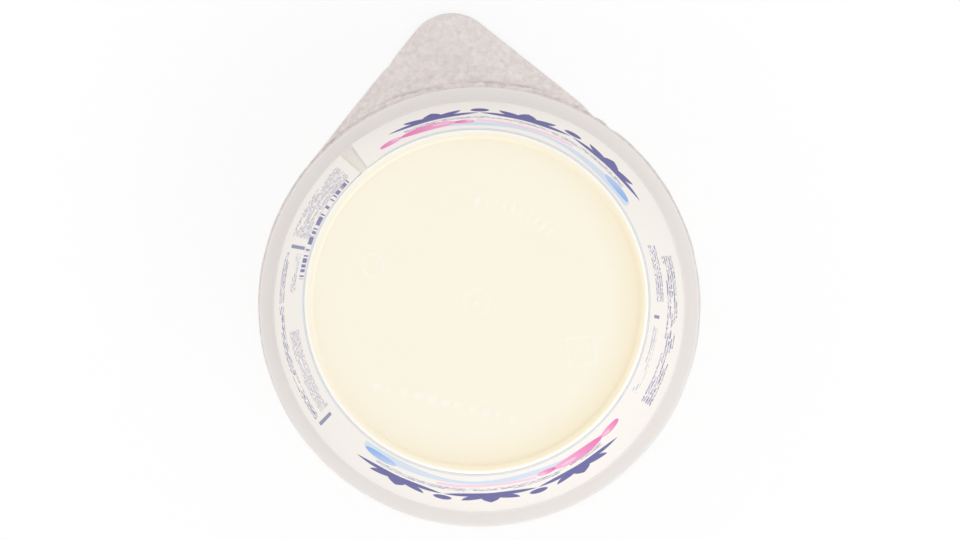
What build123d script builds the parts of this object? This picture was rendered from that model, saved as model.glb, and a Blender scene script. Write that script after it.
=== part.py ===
"""A sealed yogurt pot, stood upside down on its foil lid: cup, paper label and lid, in millimetres.

The origin is on the pot's axis at the lid's outer face, +Z runs up to the pot's base and the
lid's tear tab points along +Y. Turned half a turn about X, the pot stands on its base.
"""

import os
from math import asin, cos, hypot, radians, sin

from build123d import *

# Overall
pot_height = 47.5  # from the lid's outer face to the base ring
flange_diameter = 94.5
base_diameter = 70.2  # where the wall's line meets the plane of the base ring
flange_width = 3.15  # from the wall to the flange's edge, at the flange's back

# Flange: flat on the sealing side, with a back that slopes up to the wall
flange_edge_height = 1.3
flange_back_rise = 0.7
flange_back_edge_radius = 0.45
flange_seal_edge_radius = 0.2
neck_radius = 0.6

# Base: a rounded ring round a recessed panel, with a small raised ring at the moulding gate
heel_radius = 0.9
base_ring_width = 1.2  # with the heel's rounding
base_recess = 0.6
recess_radius = 0.25
recess_draft = 0.4  # how far the recess narrows inwards to its floor
gate_ring_diameter = 5.8
gate_ring_width = 0.6
gate_ring_rise = 0.15

# Lid: a foil disc with a rounded tab, whose sides are tangent to the disc
foil_thickness = 0.2
foil_overhang = 0.45  # past the flange, all round when the lid is centred
lid_shift = 0.4  # of the lid towards its tab, off the pot's axis
tab_reach = 15.4  # of the tab's tip, past the disc's edge
tab_tip_radius = 9.9

# Label: one paper strip round the wall, whose two ends leave a tapering gap
label_thickness = 0.25
label_to_flange = 1.6  # bare wall between the flange's back and the label
label_to_base = 1.5  # bare wall between the label and the plane of the base ring
gap_azimuth = 124.1  # of the gap's middle, in degrees from +X
gap_width_at_flange = 3.1
gap_width_at_base = 1.7

# Heights and radii that follow
flange_radius = flange_diameter / 2
flange_edge_top = foil_thickness + flange_edge_height
flange_top = flange_edge_top + flange_back_rise
base_radius = base_diameter / 2
wall_rise = pot_height - flange_top
wall_run = flange_radius - flange_width - base_radius
panel_height = pot_height - base_recess
disc_radius = flange_radius + foil_overhang
tab_centre_distance = disc_radius + tab_reach - tab_tip_radius  # from the disc's centre


def wall_radius(height):
    """The radius of the cup's straight conical wall at a height above the lid's outer face."""
    return base_radius + wall_run * (pot_height - height) / wall_rise


def ring_on_axis(inner, outer, low, high):
    """A plain flat ring about the pot's axis."""
    return Pos(0, 0, low) * extrude(Circle(outer) - Circle(inner), high - low)


def make_cup():
    """The filled cup: flange, conical wall and recessed base, as one turned solid."""
    ring_inner = base_radius - base_ring_width
    corner_radii = [
        flange_seal_edge_radius,
        flange_back_edge_radius,
        neck_radius,
        heel_radius,
        recess_radius,
        recess_radius,
    ]
    outline = FilletPolyline(
        (0, foil_thickness),
        (flange_radius, foil_thickness),
        (flange_radius, flange_edge_top),
        (wall_radius(flange_top), flange_top),
        (base_radius, pot_height),
        (ring_inner, pot_height),
        (ring_inner - recess_draft, panel_height),
        (0, panel_height),
        radius=corner_radii,
    )
    axis_line = Line((0, panel_height), (0, foil_thickness))
    section = make_face([outline, axis_line])
    turned = revolve(Plane.XZ * section, Axis.Z)
    gate_radius = gate_ring_diameter / 2
    gate_ring = ring_on_axis(
        gate_radius - gate_ring_width, gate_radius, panel_height, panel_height + gate_ring_rise
    )
    return turned + gate_ring


def make_lid():
    """The foil lid: a disc and a rounded tab, joined by two lines tangent to both."""
    turn = asin((disc_radius - tab_tip_radius) / tab_centre_distance)
    across, along = cos(turn), sin(turn)  # from either centre to its right-hand tangent point
    disc_right = (disc_radius * across, disc_radius * along)
    disc_left = (-disc_right[0], disc_right[1])
    tip_right = (tab_tip_radius * across, tab_centre_distance + tab_tip_radius * along)
    tip_left = (-tip_right[0], tip_right[1])
    outline = [
        ThreePointArc(disc_left, (0, -disc_radius), disc_right),
        Line(disc_right, tip_right),
        ThreePointArc(tip_right, (0, tab_centre_distance + tab_tip_radius), tip_left),
        Line(tip_left, disc_left),
    ]
    return Pos(0, lid_shift, 0) * extrude(make_face(outline), foil_thickness)


def make_label():
    """The paper label: a conical strip on the wall, cut through at its tapering gap."""
    low = flange_top + label_to_flange
    high = pot_height - label_to_base
    slant = hypot(wall_run, wall_rise)
    out = label_thickness * wall_rise / slant  # the thickness, square to the wall
    up = label_thickness * wall_run / slant
    strip = Polyline(
        (wall_radius(low), low),
        (wall_radius(low) + out, low + up),
        (wall_radius(high) + out, high + up),
        (wall_radius(high), high),
        close=True,
    )
    band = revolve(Plane.XZ * make_face(strip), Axis.Z)
    spread = (gap_width_at_flange - gap_width_at_base) / (high - low) / 2  # of each side of the gap
    past = 1.0  # how far the cutter reaches beyond the label, above and below
    half_low = gap_width_at_flange / 2 + spread * past
    half_high = gap_width_at_base / 2 - spread * past
    outward = Vector(cos(radians(gap_azimuth)), sin(radians(gap_azimuth)), 0)
    along_wall = Vector(-outward.Y, outward.X, 0)
    face = Plane(origin=(0, 0, 0), x_dir=along_wall, z_dir=outward)
    wedge = Polyline(
        (-half_low, low - past),
        (half_low, low - past),
        (half_high, high + past),
        (-half_high, high + past),
        close=True,
    )
    return band - extrude(face * make_face(wedge), flange_radius)


os.makedirs("parts", exist_ok=True)
for node, shape in {"cup": make_cup(), "lid": make_lid(), "label": make_label()}.items():
    export_step(shape, f"parts/{node}.step")
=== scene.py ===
import math

import bpy
import numpy as np
from mathutils import Matrix, Vector


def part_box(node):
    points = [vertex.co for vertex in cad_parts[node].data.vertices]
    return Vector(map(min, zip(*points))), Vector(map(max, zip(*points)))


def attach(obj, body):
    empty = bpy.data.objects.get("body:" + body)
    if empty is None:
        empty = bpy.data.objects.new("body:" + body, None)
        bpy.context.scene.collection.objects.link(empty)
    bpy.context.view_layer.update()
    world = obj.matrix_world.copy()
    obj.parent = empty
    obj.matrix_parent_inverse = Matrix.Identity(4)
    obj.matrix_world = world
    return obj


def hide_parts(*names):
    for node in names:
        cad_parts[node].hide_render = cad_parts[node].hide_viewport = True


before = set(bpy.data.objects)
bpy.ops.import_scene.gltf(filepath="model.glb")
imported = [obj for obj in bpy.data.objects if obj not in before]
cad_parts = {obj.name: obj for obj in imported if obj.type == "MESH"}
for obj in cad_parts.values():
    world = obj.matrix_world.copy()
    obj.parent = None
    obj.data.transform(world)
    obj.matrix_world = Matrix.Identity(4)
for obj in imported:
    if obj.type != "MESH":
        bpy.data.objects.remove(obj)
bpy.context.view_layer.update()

bl_info = {
    "name": "Yogurt Pot",
    "version": (1, 0, 0),
    "blender": (4, 5, 0),
    "location": "3D View > Sidebar > Yogurt Pot",
    "description": "Makes a sealed yogurt pot, upside down on its foil lid, and its stage",
    "category": "Object",
}

MM = 0.001
CUP_LOW, CUP_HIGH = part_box("cup")
LID_LOW, LID_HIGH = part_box("lid")
LABEL_LOW, LABEL_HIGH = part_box("label")
FLANGE_RADIUS = CUP_HIGH[0]
FOIL_TOP = CUP_LOW[2]
POT_TOP = CUP_HIGH[2]
DISC_RADIUS = LID_HIGH[0]
DISC_CENTRE_Y = LID_LOW[1] + DISC_RADIUS
TAB_TIP_Y = LID_HIGH[1]
GAP_AZIMUTH = math.radians(124.1)  # of the middle of the label's gap, from +X
CAMERA_ROLL = math.radians(6.4)  # turns the tab to the left in the main view


def srgb(red, green, blue):
    """A colour given as 0 to 255 display values, as the linear values that a shader takes."""
    shown = np.array([red, green, blue]) / 255
    linear = np.where(shown <= 0.04045, shown / 12.92, ((shown + 0.055) / 1.055) ** 2.4)
    return (*linear, 1.0)


def size_property(name, default, description):
    return bpy.props.FloatProperty(
        name=name, description=description, default=default, min=0, unit="LENGTH", precision=5
    )


def colour_property(name, default, description):
    return bpy.props.FloatVectorProperty(
        name=name, description=description, default=default, size=4, subtype="COLOR", min=0, max=1
    )


# How the label is printed. Angles go round from the point opposite the label's gap.
PRINT_RADIUS = 40.0  # mm, at which an angle is turned into a length
DEGREE = math.radians(PRINT_RADIUS)  # mm for each degree round the label
PANEL_STARTS = (-79.0, 82.5)  # degrees, where each of the two picture panels begins
BERRIES = ((50.5, 13.0, 8.5), (59.5, 5.5, 6.5), (42.5, 4.5, 5.0))  # mm: place, width and height
FANS = (9.5, 29.5, 49.5)  # mm from the panel's start
FAN_LEAVES = (20, 55, 90, 125, 160)  # degrees
RULES = ((-148.0, 17.0, 37.0), (-93.6, 14.0, 34.0), (45.0, 34.5, 40.5))  # degrees, low, high
TEXT_BLOCKS = (
    # left and right in degrees, low and high in mm, row pitch, filled share, dash width, ink
    (-175.0, -151.0, 13.5, 38.5, 2.0, 0.58, 0.42, 0.66),
    (-146.0, -131.0, 12.0, 19.5, 2.5, 0.68, 0.50, 0.75),
    (-146.0, -134.0, 27.5, 34.5, 2.2, 0.60, 0.45, 0.60),
    (-130.0, -95.5, 13.0, 19.0, 3.0, 0.75, 0.50, 0.80),
    (-122.0, -96.0, 24.0, 37.5, 1.9, 0.56, 0.42, 0.60),
    (19.0, 64.0, 13.5, 25.5, 2.6, 0.66, 0.45, 0.78),
    (20.0, 42.0, 34.5, 40.0, 2.4, 0.55, 0.42, 0.50),
    (50.0, 68.0, 29.5, 38.0, 2.3, 0.62, 0.45, 0.74),
)


class PotSizes(bpy.types.PropertyGroup):
    """Sizes of the pot that the frame's boxes don't give."""

    base_radius: size_property("Base radius", 35.1 * MM, "Where the wall meets the base ring's plane")
    flange_width: size_property("Flange width", 3.15 * MM, "From the wall to the flange's edge")
    flange_edge: size_property("Flange edge", 1.3 * MM, "Height of the flange's edge")
    flange_rise: size_property("Flange rise", 0.7 * MM, "How far the flange's back rises to the wall")
    ring_width: size_property("Base ring width", 1.2 * MM, "Width of the rounded ring round the base")
    recess: size_property("Base recess", 0.6 * MM, "Depth of the base panel below its ring")
    relief: size_property("Relief", 0.12 * MM, "Height of the moulded marks on the base")
    paper: size_property("Paper", 0.25 * MM, "Thickness of the label's paper")
    gap_low: size_property("Gap at the flange", 3.1 * MM, "Width of the label's gap at its flange edge")
    gap_high: size_property("Gap at the base", 1.7 * MM, "Width of the label's gap at its base edge")
    tip_radius: size_property("Tab tip radius", 9.9 * MM, "Radius of the tear tab's rounded tip")
    foil: size_property("Foil", 0.1 * MM, "Thickness of the foil that shows")
    tab_lift: size_property("Tab lift", 1.3 * MM, "How far the tear tab's tip stands off the floor")


class PotColours(bpy.types.PropertyGroup):
    """Colours of the pot's plastic, paper, inks and foil."""

    cream: colour_property("Cream", srgb(253, 246, 228), "Yogurt seen through the base panel")
    # painted shade: the base panel's cream darkened towards its ring, more on one side
    shaded_amber: colour_property("Amber", srgb(250, 237, 208), "Deeper cream near the base ring")
    heel: colour_property("Heel", srgb(254, 252, 246), "Thick plastic of the base ring")
    wall: colour_property("Wall", srgb(232, 226, 214), "Wall with yogurt behind it")
    flange: colour_property("Flange", srgb(234, 229, 226), "Milky plastic with nothing behind it")
    paper: colour_property("Paper", srgb(246, 241, 235), "Coated paper of the label")
    navy: colour_property("Navy", srgb(72, 69, 148), "Dark ink")
    blue: colour_property("Blue", srgb(125, 172, 238), "Bright blue ink")
    sky: colour_property("Sky", srgb(208, 221, 238), "Pale blue ink")
    pink: colour_property("Pink", srgb(232, 104, 176), "Deep pink ink")
    rose: colour_property("Rose", srgb(249, 190, 220), "Pale pink ink")
    foil: colour_property("Foil", srgb(236, 228, 225), "Lacquered inner face of the lidding foil")


# Shader arithmetic


class Value:
    """A shader's output socket, which adds a Math node each time it is used in arithmetic."""

    def __init__(self, shader, socket):
        self.shader, self.socket = shader, socket

    def math(self, operation, *others, clamp=False):
        settings = {"operation": operation, "use_clamp": clamp}
        return self.shader.value("ShaderNodeMath", 0, settings, [self, *others])

    def held(self):
        """The value held between 0 and 1."""
        return self.math("MULTIPLY", 1.0, clamp=True)

    def __add__(self, other):
        return self.math("ADD", other)

    def __mul__(self, other):
        return self.math("MULTIPLY", other)

    def __sub__(self, other):
        return self.math("SUBTRACT", other)

    def __rsub__(self, other):
        return self.math("MULTIPLY", -1.0).math("ADD", other)

    def __truediv__(self, other):
        return self.math("DIVIDE", other)

    __radd__, __rmul__ = __add__, __mul__

    def above(self, edge, soft):
        """0 below the edge and 1 above it, rising over the soft width."""
        return self.math("MULTIPLY_ADD", 1 / soft, 0.5 - edge / soft, clamp=True)

    def below(self, edge, soft):
        """1 below the edge and 0 above it, falling over the soft width."""
        return self.math("MULTIPLY_ADD", -1 / soft, 0.5 + edge / soft, clamp=True)

    def between(self, low, high, soft):
        """1 between two edges and 0 outside them."""
        return self.above(low, soft) * self.below(high, soft)


class Shader:
    """The nodes of a material or a world, which are all added by one method."""

    def __init__(self, owner):
        owner.use_nodes = True
        self.owner = owner
        self.tree = owner.node_tree
        self.tree.nodes.clear()

    def node(self, kind, settings=(), values=()):
        """Adds a node: its type, its settings, then its sockets' values or links, by place or name."""
        node = self.tree.nodes.new(kind)
        for setting, value in dict(settings).items():
            setattr(node, setting, value)
        named = values.items() if isinstance(values, dict) else enumerate(values)
        for key, value in named:
            socket = node.inputs[key]
            if isinstance(value, Value):
                self.tree.links.new(value.socket, socket)
            else:
                socket.default_value = value
        return node

    def value(self, kind, output, settings=(), values=()):
        """Adds a node and gives one of its outputs."""
        return Value(self, self.node(kind, settings, values).outputs[output])

    def place(self):
        """The piece's own x, y and z in millimetres."""
        own = self.value("ShaderNodeTexCoord", "Object")
        split = self.node("ShaderNodeSeparateXYZ", values=[own])
        return [Value(self, output) * 1000 for output in split.outputs]

    def vector(self, x, y, z=0.0):
        return self.value("ShaderNodeCombineXYZ", 0, values=[x, y, z])

    def noise(self, vector, scale, detail=3.0, rough=0.55):
        values = {"Vector": vector, "Scale": scale, "Detail": detail, "Roughness": rough}
        return self.value("ShaderNodeTexNoise", "Fac", values=values)

    def speck(self, x, y, seed):
        """A fixed random number from 0 to 1 for each whole x and y."""
        return self.value("ShaderNodeTexWhiteNoise", "Value", values=[self.vector(x, y, seed)])

    def mix(self, factor, under, over):
        """One colour laid over another by a factor."""
        return self.value("ShaderNodeMix", 2, {"data_type": "RGBA"}, {0: factor, 6: under, 7: over})

    def unlit(self):
        """1 for the rays that see a plain white stage, from the camera, a mirror or a clear piece,
        and 0 for the rays that light the pot."""
        path = self.node("ShaderNodeLightPath")
        kinds = ("Is Camera Ray", "Is Glossy Ray", "Is Transmission Ray")
        camera, glossy, clear = [Value(self, path.outputs[kind]) for kind in kinds]
        return (camera + glossy + clear).math("MINIMUM", 1.0)

    def bump(self, height, distance, strength=1.0):
        values = {"Height": height, "Distance": distance, "Strength": strength}
        return self.value("ShaderNodeBump", 0, values=values)

    def finish(self, **sockets):
        """Ends the material in a Principled BSDF, whose sockets are named with underscores here."""
        names = [key.replace("_", " ").title().replace("Ior", "IOR") for key in sockets]
        values = dict(zip(names, sockets.values()))
        surface = self.value("ShaderNodeBsdfPrincipled", 0, values=values)
        self.node("ShaderNodeOutputMaterial", values=[surface])
        return self.owner


# Meshes


def closed_skin(name, grid, caps, marks=None):
    """Joins a grid of points, rows by columns, into a closed mesh with smooth faces.

    Columns close on themselves. With caps "poles" the first and last rows are fanned to their mean
    points, and with "zip" each is closed by joining its first half to its second half. Marks, one
    number for each point of the grid, become the attribute "mark", with 0 at the poles.
    """
    rows, columns = grid.shape[:2]
    index = np.arange(rows * columns).reshape(rows, columns)
    ahead = np.roll(index, -1, axis=1)
    quads = np.stack((index[:-1], ahead[:-1], ahead[1:], index[1:]), -1).reshape(-1, 4)
    points = grid.reshape(-1, 3)
    if caps == "poles":
        poles = len(points) + np.array([0, 1])
        points = np.vstack((points, grid[0].mean(axis=0), grid[-1].mean(axis=0)))
        first = np.stack((np.full(columns, poles[0]), ahead[0], index[0]), -1)
        last = np.stack((np.full(columns, poles[1]), index[-1], ahead[-1]), -1)
        more = np.vstack((first, last))
    else:
        half = columns // 2
        side = np.arange(half - 1)
        strip = np.stack((side, side + 1, columns - 2 - side, columns - 1 - side), -1)
        more = np.vstack((index[0][strip[:, ::-1]], index[-1][strip]))
    corners = np.concatenate((quads.ravel(), more.ravel()))
    counts = np.concatenate((np.full(len(quads), 4), np.full(len(more), more.shape[1])))
    mesh = bpy.data.meshes.new(name)
    mesh.vertices.add(len(points))
    mesh.vertices.foreach_set("co", points.astype(np.float32).ravel())
    mesh.loops.add(len(corners))
    mesh.loops.foreach_set("vertex_index", corners.astype(np.int32))
    mesh.polygons.add(len(counts))
    starts = np.concatenate(([0], np.cumsum(counts)[:-1]))
    mesh.polygons.foreach_set("loop_start", starts.astype(np.int32))
    mesh.update(calc_edges=True)
    mesh.polygons.foreach_set("use_smooth", np.ones(len(counts), bool))
    if marks is not None:
        values = np.zeros(len(points), np.float32)
        values[: marks.size] = marks.ravel()
        mesh.attributes.new("mark", "FLOAT", "POINT").data.foreach_set("value", values)
    mesh.validate()
    piece = bpy.data.objects.new(name, mesh)
    bpy.context.scene.collection.objects.link(piece)
    return piece


def rounded_profile(corners, radii, runs, bend=7):
    """A profile through the corners: straight runs, each in so many steps, joined by tangent arcs.

    Each arc's middle lies on the corner's bisector, at the radius over the sine of the half angle.
    """
    corners = np.array(corners, float)
    pieces, start = [], corners[0]
    for before, corner, after, radius, steps in zip(corners, corners[1:], corners[2:], radii, runs):
        back = (before - corner) / np.linalg.norm(before - corner)
        on = (after - corner) / np.linalg.norm(after - corner)
        half = math.acos(back @ on) / 2
        first, last = corner + back * radius / math.tan(half), corner + on * radius / math.tan(half)
        middle = corner + (back + on) / np.linalg.norm(back + on) * radius / math.sin(half)
        share = np.linspace(0, 1, steps, endpoint=False)[:, None]
        pieces.append(start + (first - start) * share)
        turn = np.linspace(0, 1, bend, endpoint=False)[:, None] * (math.pi - 2 * half)
        whole = math.sin(math.pi - 2 * half)
        arc = np.sin(math.pi - 2 * half - turn) / whole * (first - middle)
        pieces.append(middle + arc + np.sin(turn) / whole * (last - middle))
        start = last
    share = np.linspace(0, 1, runs[-1])[:, None]
    return np.vstack([*pieces, start + (corners[-1] - start) * share])


def smooth(x, low, high):
    """0 at low and 1 at high, by the cubic 3t² - 2t³ of the share between them."""
    t = np.clip((x - low) / (high - low), 0, 1)
    return t * t * (3 - 2 * t)


def waves(x, y, length, seed, count=9):
    """A gentle unevenness from -1 to 1: the mean of plane cosine waves in seeded directions."""
    draw = np.random.default_rng(seed)
    turn, phase = draw.uniform(0, 2 * math.pi, (2, count))
    number = 2 * math.pi / (length * draw.uniform(0.7, 1.5, count))
    total = 0
    for t, n, p in zip(turn, number, phase):
        total = total + np.cos((x * math.cos(t) + y * math.sin(t)) * n + p)
    return total / count * 1.6  # the mean of so many waves seldom reaches 1


def facets(x, y, cell, seed):
    """Crumpled facets from 0 to 1: the gap between the two nearest of one jittered point a cell."""
    near, next_near = np.full(x.shape, 9.0), np.full(x.shape, 9.0)
    column, row = np.floor(x / cell), np.floor(y / cell)
    for across in (-1, 0, 1):
        for along in (-1, 0, 1):
            i, j = column + across, row + along
            hashed = np.sin(i * 127.1 + j * 311.7 + seed) * 43758.5453
            other = np.sin(i * 269.5 + j * 183.3 + seed) * 24634.6345
            away = np.hypot(i + hashed % 1 - x / cell, j + other % 1 - y / cell)
            next_near = np.minimum(next_near, np.maximum(near, away))
            near = np.minimum(near, away)
    return np.clip(next_near - near, 0, 1)


def pot_wall(sizes, height):
    """The radius of the straight conical wall at a height."""
    flange_top = FOIL_TOP + sizes.flange_edge + sizes.flange_rise
    share = (POT_TOP - height) / (POT_TOP - flange_top)
    return sizes.base_radius + (FLANGE_RADIUS - sizes.flange_width - sizes.base_radius) * share


def base_marks(x, y):
    """Moulded marks from 0 to 1, in millimetres: the gate ring, a curved and a straight row of bars
    of uneven length, a small ring and a small square frame. Each edge rises over 0.25 mm."""
    rise = 0.25
    radius, turn = np.hypot(x, y), np.degrees(np.arctan2(y, x))
    marks = smooth(0.3 - abs(radius - 2.6), 0, rise) + smooth(0.5 - radius, 0, rise)
    draw = np.random.default_rng(5)
    row_radius, per_degree = 20.7, 0.36  # of the curved row, in mm
    for start in np.arange(36, 82, 5.1):
        width = draw.uniform(1.6, 3.6)
        inside = np.minimum((turn - start) * per_degree, (start + width - turn) * per_degree)
        marks += smooth(np.minimum(inside, 1.0 - abs(radius - row_radius)), 0, rise)
    slant, row_place = math.radians(20), -21.5  # of the straight row
    along = x * math.cos(slant) - y * math.sin(slant)
    across = x * math.sin(slant) + y * math.cos(slant)
    for start in np.arange(-17, 14, 2.9):
        width = draw.uniform(1.0, 2.2)
        inside = np.minimum(along - start, start + width - along)
        marks += smooth(np.minimum(inside, 0.8 - abs(across - row_place)), 0, rise)
    ring = abs(np.hypot(x + 20.4, y - 10.0) - 2.3)
    square = abs(np.maximum(abs(x - 20.3), abs(y + 12.2)) - 2.8)
    marks += smooth(0.35 - ring, 0, rise) + smooth(0.35 - square, 0, rise)
    return np.clip(marks, 0, 1)


def cup_grid(sizes):
    """The cup as a profile turned about the axis: x and y are the radius by the cosine and sine.

    Marks, a gentle unevenness and a parabola's dish are added to the height of the base panel.
    """
    flange_top = FOIL_TOP + sizes.flange_edge + sizes.flange_rise
    ring_inner = sizes.base_radius - sizes.ring_width
    panel = POT_TOP - sizes.recess
    corners = [
        (2 * MM, FOIL_TOP),
        (FLANGE_RADIUS, FOIL_TOP),
        (FLANGE_RADIUS, FOIL_TOP + sizes.flange_edge),
        (pot_wall(sizes, flange_top), flange_top),
        (sizes.base_radius, POT_TOP),
        (ring_inner, POT_TOP),
        (ring_inner - 0.4 * MM, panel),
        (0.3 * MM, panel),
    ]
    radii = np.array([0.2, 0.6, 0.8, 0.75, 0.2, 0.25]) * MM
    profile = rounded_profile(corners, radii, [3, 3, 12, 16, 2, 3, 96])
    turn = np.linspace(0, 2 * math.pi, 512, endpoint=False)
    radius, height = profile[:, :1], profile[:, 1:]
    x, y = radius * np.cos(turn), radius * np.sin(turn)
    z = height + np.zeros_like(x)
    on_panel = smooth(ring_inner - radius, 0.6 * MM, 3 * MM) * (height > panel - MM)
    marks = on_panel * base_marks(x / MM, y / MM)
    uneven, dish, flange_uneven = 0.035 * MM, 0.25 * MM, 0.03 * MM
    z += sizes.relief * marks + on_panel * uneven * waves(x, y, 14 * MM, 3)
    z -= on_panel * dish * (1 - (radius / ring_inner) ** 2)
    on_flange = (height > FOIL_TOP + 0.5 * MM) * (radius > FLANGE_RADIUS - sizes.flange_width)
    z += on_flange * (height < flange_top) * flange_uneven * waves(x, y, 20 * MM, 8)
    return np.stack((x, y, z), -1), marks


def label_grid(sizes):
    """The label as stations round the wall, each a closed loop: down the outer face, up the inner.

    Each end follows the gap's slant. The ends stand off the wall by a bell curve of the angle from
    the end, and the flange edge by waves that fade towards the base.
    """
    low, high = LABEL_LOW[2], LABEL_HIGH[2]
    height = np.linspace(high, low, 40)
    share = (height - low) / (high - low)
    gap = sizes.gap_low + (sizes.gap_high - sizes.gap_low) * share
    half_gap = gap / 2 / pot_wall(sizes, height)
    part = np.linspace(0, 1, 721)[:, None]
    turn = GAP_AZIMUTH + half_gap + part * (2 * math.pi - 2 * half_gap)
    from_start, to_end = part * 360, (1 - part) * 360  # about in degrees
    end_lift, start_lift, edge_lift = 0.35 * MM, 0.16 * MM, 0.06 * MM
    loose = end_lift * np.exp(-((to_end / 5) ** 2)) * (1 - share) ** 0.7
    loose = loose + start_lift * np.exp(-((from_start / 4) ** 2)) * (1 - 0.6 * share)
    ripple = edge_lift * (1 + waves(turn * PRINT_RADIUS, 0 * turn, 22, 4)) * (1 - share) ** 2
    lift = loose + ripple * smooth(np.minimum(from_start, to_end), 0, 8)
    inner = pot_wall(sizes, height) + 0.01 * MM + lift
    outer = inner + sizes.paper
    place = np.arange(len(height))
    taper = 0.35 * sizes.paper * ((place == 0) | (place == place[-1]))  # eases the cut edges
    outer_loop = np.stack(((outer - taper) * np.cos(turn), (outer - taper) * np.sin(turn)), -1)
    inner_loop = np.stack((inner * np.cos(turn), inner * np.sin(turn)), -1)[:, ::-1]
    flat = np.concatenate((outer_loop, inner_loop), axis=1)
    z = np.concatenate((height, height[::-1])) + np.zeros(flat.shape[:2])
    return np.concatenate((flat, z[..., None]), axis=-1)


def lid_outline(sizes, turn):
    """The lid's reach from the disc's centre at an angle from the tab: the disc, then its tangent
    line, then the tip's circle, with a wavy cut edge, a nick on one side and a fold on the other."""
    centre = TAB_TIP_Y - DISC_CENTRE_Y - sizes.tip_radius
    along = math.pi / 2 - math.asin((DISC_RADIUS - sizes.tip_radius) / centre)
    tip_x = centre + sizes.tip_radius * math.cos(along)
    tip_turn = math.atan2(sizes.tip_radius * math.sin(along), tip_x)
    off = abs(turn)
    line = DISC_RADIUS / np.cos(np.minimum(off, along) - along)
    inside = np.maximum(sizes.tip_radius**2 - (centre * np.sin(off)) ** 2, 0)
    tip = centre * np.cos(off) + np.sqrt(inside)
    reach = np.where(off > along, DISC_RADIUS, np.where(off > tip_turn, line, tip))
    degrees = np.degrees(turn)
    wavy = 0.10 * waves(degrees, 0 * degrees, 9, 12) * smooth(off, 0.7, 0.9)
    cuts = 0.0
    for depth, place, width in ((0.315, 14.2, 1.1), (0.45, -37.0, 2.2), (0.3, -43.0, 1.6)):
        cuts = cuts + depth * np.exp(-(((degrees - place) / width) ** 2))
    room = 0.14 - 0.12 * smooth(0.7 - off, 0, 0.2)  # inside the frame's box
    return reach - MM * (room - wavy + cuts)


def lid_grid(sizes):
    """The foil lid: rings from the middle of its lower face out to the edge and back on its upper
    face. Rings past the seat blend from a circle to the outline.

    Past the flange the foil is lifted by a parabola's curl, waves, facets and a crease beside the
    flange. Under the flange it lies flat, and only its lower face is embossed.
    """
    tab_side = 0.95  # half the angle that has close columns
    seat, middle = 46.6 * MM, 0.5 * MM
    near_tab = np.linspace(-tab_side, tab_side, 400, endpoint=False)
    far_side = np.linspace(tab_side, 2 * math.pi - tab_side, 220, endpoint=False)
    turn = np.concatenate((near_tab, far_side))
    turn = np.where(turn > math.pi, turn - 2 * math.pi, turn)
    edge = lid_outline(sizes, turn)
    under = np.linspace(middle, seat, 62, endpoint=False)[:, None] + 0 * turn
    share = np.linspace(0, 1, 44)[:, None]
    outside = seat + (edge - seat) * share
    over = np.linspace(seat, middle, 6)[1:, None] + 0 * turn
    reach = np.concatenate((under, outside, outside[::-1], over))
    upper = np.zeros((len(reach), 1))
    upper[len(under) + len(outside) :] = 1
    x = -reach * np.sin(turn)
    y = DISC_CENTRE_Y + reach * np.cos(turn)
    from_axis = np.hypot(x, y)
    beyond = np.maximum(from_axis - FLANGE_RADIUS, 0)
    free = smooth(beyond, 0.1 * MM, 0.8 * MM)
    emboss = 0.055 * MM * facets(x, y, 1.25 * MM, 1.0) + 0.02 * MM * facets(x, y, 0.6 * MM, 7.0)
    crinkle = facets(x + 0.4 * MM * waves(x, y, 6 * MM, 2), y, 3.4 * MM, 3.0)
    by_flange = np.exp(-((beyond / (4.5 * MM)) ** 2))
    crease_line = 1.0 * MM + 0.35 * MM * waves(x, y, 9 * MM, 6)
    crease = np.exp(-(((beyond - crease_line) / (0.22 * MM)) ** 2))
    crease = crease * smooth(22 * MM - abs(x - 1 * MM), 0, 9 * MM) * (y > 0)
    curl = sizes.tab_lift * (beyond / (TAB_TIP_Y - FLANGE_RADIUS)) ** 2
    sway = 0.16 * MM * (1 + waves(x, y, 13 * MM, 9)) * smooth(beyond, 0, 6 * MM)
    wrinkle = crinkle * (0.28 * MM * by_flange + 0.05 * MM)
    lift = 0.1 * MM + curl + sway + wrinkle - 0.2 * MM * crease
    loose = free * (lift + emboss)
    seated = emboss * smooth(seat - from_axis, -MM, MM)
    bottom = np.maximum(seated + loose, 0)
    under_flange = FOIL_TOP - 0.01 * MM  # just clear of the cup
    top = under_flange * (1 - free) + (loose + sizes.foil) * free
    return np.stack((x, y, np.where(upper > 0, top, bottom)), -1)


# Materials


def cup_material(colours):
    """Milky plastic: cream over the yogurt, whiter where it is thick, greyer where nothing is behind,
    and amber painted shade near the base ring.
    """
    shader = Shader(bpy.data.materials.new("milky_plastic"))
    x, y, z = shader.place()
    radius = (x * x + y * y).math("SQRT")
    spot = shader.vector(x, y, z)
    cloud = shader.noise(spot, 0.06, 2.0)
    # painted shade: amber towards the base ring, stronger on the +x, -y side
    edge = radius.above(30.5, 7.0) * (0.55 + x * 0.011 - y * 0.009)
    cream = shader.mix((edge + cloud * 0.25 - 0.1).held(), colours.cream, colours.shaded_amber)
    marked = shader.value("ShaderNodeAttribute", "Fac", {"attribute_name": "mark"})
    cream = shader.mix(marked * 0.42, cream, colours.heel)
    dome = shader.mix(radius.above(34.7, 0.6), cream, colours.heel)
    side = shader.mix(z.below(9.5, 2.0), colours.wall, colours.flange)
    colour = shader.mix(z.above(46.3, 0.5), side, dome)
    grain = shader.noise(spot, 1.6, 4.0, 0.6)
    tint = shader.mix(grain * 0.06, colour, colours.flange)
    haze = shader.noise(spot, 0.35, 3.0)
    return shader.finish(
        base_color=tint,
        roughness=0.34 + haze * 0.16,
        normal=shader.bump(grain, 0.00003, 0.5),
        subsurface_weight=0.12,
        subsurface_radius=(1.0, 0.8, 0.6),
        subsurface_scale=0.0012,
    )


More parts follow.
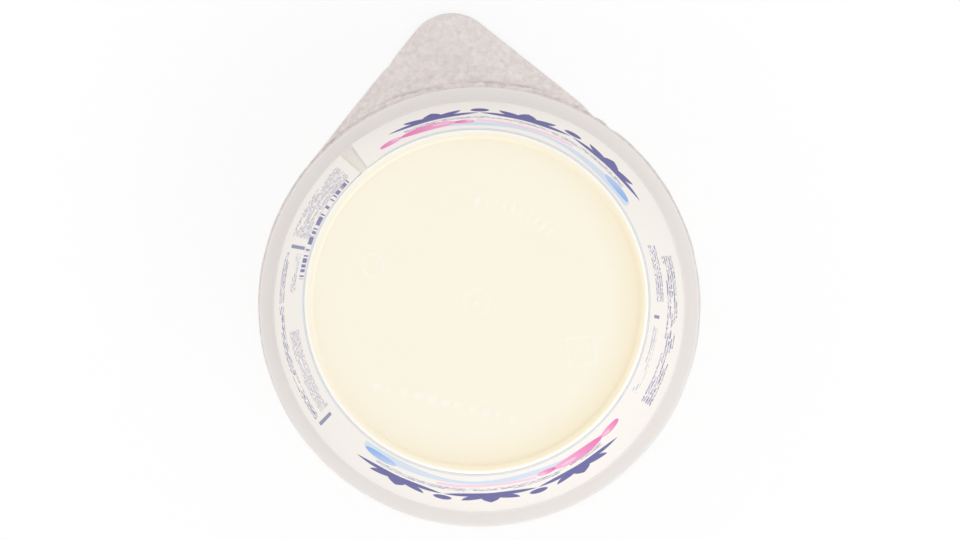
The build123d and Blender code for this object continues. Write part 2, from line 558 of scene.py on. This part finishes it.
def leaf(shader, u, v, centre, angle, length, width, soft=0.3):
    """A pointed leaf: inside where the distance across is under a parabola of the distance along."""
    c, s = math.cos(math.radians(angle)), math.sin(math.radians(angle))
    du, dv = u - centre[0], v - centre[1]
    along = (du * c + dv * s) / (length / 2)
    across = (dv * c - du * s).math("ABSOLUTE")
    return ((1 - along * along) * (width / 2) - across).above(0.0, soft)


def blob(u, v, centre, wide, tall, soft=0.1):
    """An ellipse: inside where the scaled distance from its centre is under one."""
    du, dv = (u - centre[0]) / (wide / 2), (v - centre[1]) / (tall / 2)
    return (du * du + dv * dv).math("SQRT").below(1.0, soft)


def small_lines(shader, u, v, box, pitch, fill, cell, seed):
    """Rows of tiny dashes, with gaps, in a box: left, right, low, high. The rows are arcs of a
    large circle, as straight lines on the flat sheet are once it is wrapped round a cone."""
    left, right, low, high = box
    du = u - (left + right) / 2
    straight = v - du * du * (1 / 450)
    row = (straight / pitch).math("FLOOR")
    in_row = (straight / pitch).math("FRACT").below(fill, 0.12)
    part = (straight * (5 / pitch)).math("FLOOR")
    dash = shader.speck((u / cell).math("FLOOR"), part, seed).above(0.36, 0.05)
    word_place = (u / (cell * 7) + row * 0.37).math("FLOOR")
    word = shader.speck(word_place, row, seed + 20).above(0.13, 0.02)
    return u.between(left, right, 0.3) * v.between(low, high, 0.3) * in_row * dash * word


def berry_masks(u, v, left):
    """A panel's ribbon and berries: where pale pink lies, and how much deep pink is over it."""
    bend = ((u - left) * 0.25).math("SINE") * 0.8
    ribbon = (v - bend).between(32.6, 35.2, 0.3) * u.between(left + 18, left + 40, 0.5)
    pale, deep = ribbon * 0.75, 0.0
    for centre, wide, tall in BERRIES:
        berry = blob(u, v, (left + centre, 35.0), wide, tall)
        shine = blob(u, v, (left + centre - wide * 0.2, 34.2), wide * 0.3, tall * 0.3)
        across = (u - left - centre + wide / 2) / wide
        pale = berry + pale
        deep = berry * (1 - shine) * (0.25 + across * 0.75) + deep
    return pale, deep


def fan_mask(shader, u, v, left):
    """A panel's leaf fans, with a dot between each two."""
    root, reach = 25.5, 5.0  # height of the fans' middle, and from there to a leaf's middle
    mask = 0.0
    for fan in FANS:
        for angle in FAN_LEAVES:
            turn = math.radians(angle)
            middle = (left + fan + reach * math.cos(turn), root - reach * math.sin(turn))
            mask = leaf(shader, u, v, middle, -angle, 11.0, 3.9 if angle == 90 else 3.5) + mask
    for fan in FANS[:-1]:
        mask = blob(u, v, (left + fan + 10, 18.0), 3.8, 5.0, 0.2) + mask
    return mask


def small_print_mask(shader, u, v):
    """The blocks of small lines, the plain bars near the base edge, and the three rules."""
    mask = 0.0
    for seed, (left, right, low, high, pitch, fill, cell, ink) in enumerate(TEXT_BLOCKS):
        box = (left * DEGREE, right * DEGREE, low, high)
        mask = small_lines(shader, u, v, box, pitch, fill, cell, seed + 1.0) * ink + mask
    bar = shader.speck((u / 0.36).math("FLOOR"), 3.0, 9.0).above(0.46, 0.04)
    bar_place = u.between(-174 * DEGREE, -138 * DEGREE, 0.2) * v.between(38.6, 44.6, 0.3)
    mask = bar * bar_place * 0.9 + mask
    half_rule = 0.38
    for centre, low, high in RULES:
        across = u.between(centre * DEGREE - half_rule, centre * DEGREE + half_rule, 0.15)
        mask = across * v.between(low, high, 0.3) * 0.8 + mask
    return mask


def label_material(colours):
    """Coated paper printed with plain shapes: leaf fans, dots, waves, dashes and bars.

    u runs round the label in millimetres from the point opposite its gap, and v is the height.
    """
    shader = Shader(bpy.data.materials.new("printed_paper"))
    x, y, v = shader.place()
    back = GAP_AZIMUTH + math.pi
    c, s = math.cos(back), math.sin(back)
    u = (y * c - x * s).math("ARCTAN2", x * c + y * s) * PRINT_RADIUS
    fibre = shader.noise(shader.vector(x, y, v), 1.1, 5.0, 0.65)
    colour = shader.mix(fibre * 0.10, colours.paper, colours.wall)
    navy, deep, pale = 0.0, 0.0, 0.0
    for start in PANEL_STARTS:
        left = start * DEGREE
        du = u - left
        swell = (du * 0.20).math("SINE") * 1.5 + du * -0.07
        wave = v.above(36.0, 0.4) * (v - swell).below(42.5, 0.4) * u.between(left, left + 62, 0.4)
        colour = shader.mix(wave * 0.9, colour, colours.sky)
        crest = blob(u, v, (left + 4.5, 36.0), 8.0, 7.5)
        colour = shader.mix(crest * (1 - du * 0.06), colour, colours.blue)
        panel_pale, panel_deep = berry_masks(u, v, left)
        pale, deep = panel_pale + pale, panel_deep + deep
        line_box = (left + 4, left + 56, 27.6, 31.0)
        lines = small_lines(shader, u, v, line_box, 1.7, 0.6, 0.75, start)
        navy = fan_mask(shader, u, v, left) + lines * 0.75 + navy
    navy = small_print_mask(shader, u, v) + navy
    edge_line = v.between(45.1, 45.9, 0.2) * u.between(-168 * DEGREE, 172 * DEGREE, 1.0)
    colour = shader.mix(edge_line * 0.85, colour, colours.sky)
    colour = shader.mix(pale.math("MULTIPLY", 0.9, clamp=True), colour, colours.rose)
    colour = shader.mix(deep.held(), colour, colours.pink)
    ink = navy.held()
    colour = shader.mix(ink * (0.92 + fibre * 0.08), colour, colours.navy)
    return shader.finish(
        base_color=colour,
        roughness=0.46 + fibre * 0.14 - ink * 0.08,
        specular_ior_level=0.12,
        normal=shader.bump(fibre, 0.00004, 0.5),
    )


def foil_material(colours):
    """Lacquered lidding foil: satin metal with a fine pebble, and painted shade darkening its creases,
    ripples and hollows.
    """
    shader = Shader(bpy.data.materials.new("embossed_foil"))
    x, y, z = shader.place()
    spot = shader.vector(x, y, z)
    values = {"Vector": spot, "Scale": 1.15}
    pebble = shader.value("ShaderNodeTexVoronoi", "Distance", {"feature": "SMOOTH_F1"}, values)
    grain = shader.noise(spot, 2.2, 5.0, 0.65)
    cloud = shader.noise(spot, 0.12, 3.0)
    coarse = shader.noise(spot, 0.85, 4.0, 0.6)
    # painted shade: darker in the emboss's hollows and in noisy patches
    painted_shade = (pebble * 0.5 + coarse * 2.4 + grain * 0.8 + cloud * 0.6 - 1.75).held()
    beyond = (x * x + y * y).math("SQRT") + coarse * 1.6 - FLANGE_RADIUS / MM
    middle = x.math("ABSOLUTE").below(16.0, 12.0)
    # painted shadow along the foil's crease beside the flange
    fold = beyond.between(1.8, 2.15, 0.3) * cloud.above(0.46, 0.2) * middle
    # painted shade: dark bands for the foil's wrinkles just past the flange
    ripple = (beyond * 2.6 + coarse * 5.0).math("SINE").above(0.55, 0.6)
    ripple = ripple * beyond.between(0.6, 5.5, 1.5)
    painted_shade = (painted_shade + fold * 0.8 + ripple * 0.16).math("MINIMUM", 1.6)
    shade = (*(channel * 0.70 for channel in colours.foil[:3]), 1.0)
    # the painted shade laid over the foil's own colour
    colour = shader.mix(painted_shade * 0.55, colours.foil, shade)
    height = pebble * -0.6 + grain + coarse * 1.5
    return shader.finish(
        base_color=colour,
        metallic=0.55,
        roughness=0.42 + grain * 0.2,
        normal=shader.bump(height, 0.00016, 0.7),
    )


def floor_material():
    """Pale floor: it glows white for the camera and mirrors, except a share near the pot that is
    matte and holds its shadow."""
    shader = Shader(bpy.data.materials.new("pale_floor"))
    x, y, _ = shader.place()
    radius = (x * x + y * y).math("SQRT")
    mottle = shader.noise(shader.vector(x, y), 0.02)
    tone = shader.mix(mottle, (0.93, 0.93, 0.93, 1.0), (0.91, 0.91, 0.91, 1.0))
    matte = shader.value("ShaderNodeBsdfDiffuse", 0, values={"Color": tone})
    glow = shader.value("ShaderNodeEmission", 0, values={"Color": (1, 1, 1, 1), "Strength": 1.03})
    matte_share = 0.28
    share = (1 - matte_share + radius.above(150.0, 160.0) * matte_share) * shader.unlit()
    surface = shader.value("ShaderNodeMixShader", 0, values=[share, matte, glow])
    shader.node("ShaderNodeOutputMaterial", values=[surface])
    return shader.owner


# Operators


def dress(piece, material, node):
    """Gives a finished piece its material and ties it to the frame."""
    piece.data.materials.append(material)
    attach(piece, "root")
    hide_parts(node)


class YOGURT_OT_make_cup(bpy.types.Operator):
    """Makes the milky plastic cup"""

    bl_idname = "yogurt.make_cup"
    bl_label = "Make Cup"

    def execute(self, context):
        grid, marks = cup_grid(context.scene.pot_sizes)
        piece = closed_skin("milky_cup", grid, "poles", marks)
        dress(piece, cup_material(context.scene.pot_colours), "cup")
        return {"FINISHED"}


class YOGURT_OT_make_label(bpy.types.Operator):
    """Makes the printed paper label"""

    bl_idname = "yogurt.make_label"
    bl_label = "Make Label"

    def execute(self, context):
        piece = closed_skin("paper_label", label_grid(context.scene.pot_sizes), "zip")
        dress(piece, label_material(context.scene.pot_colours), "label")
        return {"FINISHED"}


class YOGURT_OT_make_lid(bpy.types.Operator):
    """Makes the embossed foil lid with its tear tab"""

    bl_idname = "yogurt.make_lid"
    bl_label = "Make Lid"

    def execute(self, context):
        piece = closed_skin("foil_lid", lid_grid(context.scene.pot_sizes), "poles")
        dress(piece, foil_material(context.scene.pot_colours), "lid")
        return {"FINISHED"}


class YOGURT_OT_make_stage(bpy.types.Operator):
    """Makes the floor, the lights, the sky and the camera"""

    bl_idname = "yogurt.make_stage"
    bl_label = "Make Stage"

    def execute(self, context):
        make_floor()
        make_sky(context.scene)
        for name, place, power, size in (
            ("key", (0.42, -0.62, 0.62), 1.3, 0.7),
            ("fill", (-0.60, 0.30, 0.80), 0.3, 0.9),
        ):
            make_softbox(name, Vector(place), power, size)
        make_camera(context.scene)
        return {"FINISHED"}


def make_floor():
    """A square of floor, 8 m on a side, level with the lid's outer face."""
    half = 4.0
    corners = [(-half, -half, 0), (half, -half, 0), (half, half, 0), (-half, half, 0)]
    mesh = bpy.data.meshes.new("floor")
    mesh.from_pydata(corners, [], [(0, 1, 2, 3)])
    floor = bpy.data.objects.new("floor", mesh)
    bpy.context.scene.collection.objects.link(floor)
    floor.data.materials.append(floor_material())


def make_sky(scene):
    """A soft white sky, a little brighter towards the horizon, that the camera sees as plain white."""
    world = bpy.data.worlds.new("soft_sky")
    scene.world = world
    sky = Shader(world)
    ray = sky.value("ShaderNodeTexCoord", "Generated")
    up = sky.value("ShaderNodeSeparateXYZ", 2, values=[ray])
    seen = sky.unlit()
    light = 0.72 + (1 - up) * 0.55
    strength = seen + (1 - seen) * light
    glow = sky.value("ShaderNodeBackground", 0, values={"Color": (1, 1, 1, 1), "Strength": strength})
    sky.node("ShaderNodeOutputWorld", values=[glow])


def make_softbox(name, place, power, size):
    """A square lamp that faces the origin."""
    lamp = bpy.data.lights.new(name, "AREA")
    lamp.energy, lamp.size = power, size
    box = bpy.data.objects.new(name, lamp)
    box.location = place
    box.rotation_mode = "QUATERNION"
    box.rotation_quaternion = (-place).to_track_quat("-Z", "Y")
    bpy.context.scene.collection.objects.link(box)


def make_camera(scene):
    """A long-lens camera almost straight above the base, rolled so that the tab leans left."""
    right = Vector((math.cos(CAMERA_ROLL), -math.sin(CAMERA_ROLL), 0))
    up = Vector((math.sin(CAMERA_ROLL), math.cos(CAMERA_ROLL), 0))
    height, seen_width = 1.0, 206.5 * MM
    place = right * 13.4 * MM - up * 22.0 * MM + Vector((0, 0, height))  # a little to one side
    aim = right * 0.13 * MM + up * 7.9 * MM
    lens = bpy.data.cameras.new("camera")
    lens.sensor_width = 36.0
    lens.lens = lens.sensor_width * height / seen_width
    camera = bpy.data.objects.new("camera", lens)
    back = (place - aim).normalized()
    across = (right - back * right.dot(back)).normalized()
    turn = Matrix((across, back.cross(across), back)).transposed()
    camera.matrix_world = Matrix.Translation(place) @ turn.to_4x4()
    scene.collection.objects.link(camera)
    scene.camera = camera
    scene.view_settings.view_transform = "Standard"


class VIEW3D_PT_yogurt_pot(bpy.types.Panel):
    """Sizes, colours and makers of the yogurt pot"""

    bl_label = "Yogurt Pot"
    bl_space_type = "VIEW_3D"
    bl_region_type = "UI"
    bl_category = "Yogurt Pot"

    def draw(self, context):
        for group in (context.scene.pot_sizes, context.scene.pot_colours):
            column = self.layout.column()
            for name in group.__annotations__:
                column.prop(group, name)
        for maker in MAKERS:
            self.layout.operator(maker.bl_idname)


MAKERS = (YOGURT_OT_make_cup, YOGURT_OT_make_label, YOGURT_OT_make_lid, YOGURT_OT_make_stage)
CLASSES = (PotSizes, PotColours, *MAKERS, VIEW3D_PT_yogurt_pot)


def register():
    for each in CLASSES:
        bpy.utils.register_class(each)
    bpy.types.Scene.pot_sizes = bpy.props.PointerProperty(type=PotSizes)
    bpy.types.Scene.pot_colours = bpy.props.PointerProperty(type=PotColours)


def unregister():
    del bpy.types.Scene.pot_sizes
    del bpy.types.Scene.pot_colours
    for each in reversed(CLASSES):
        bpy.utils.unregister_class(each)


def main():
    register()
    bpy.ops.yogurt.make_cup()
    bpy.ops.yogurt.make_label()
    bpy.ops.yogurt.make_lid()
    bpy.ops.yogurt.make_stage()


if __name__ == "__main__":
    main()
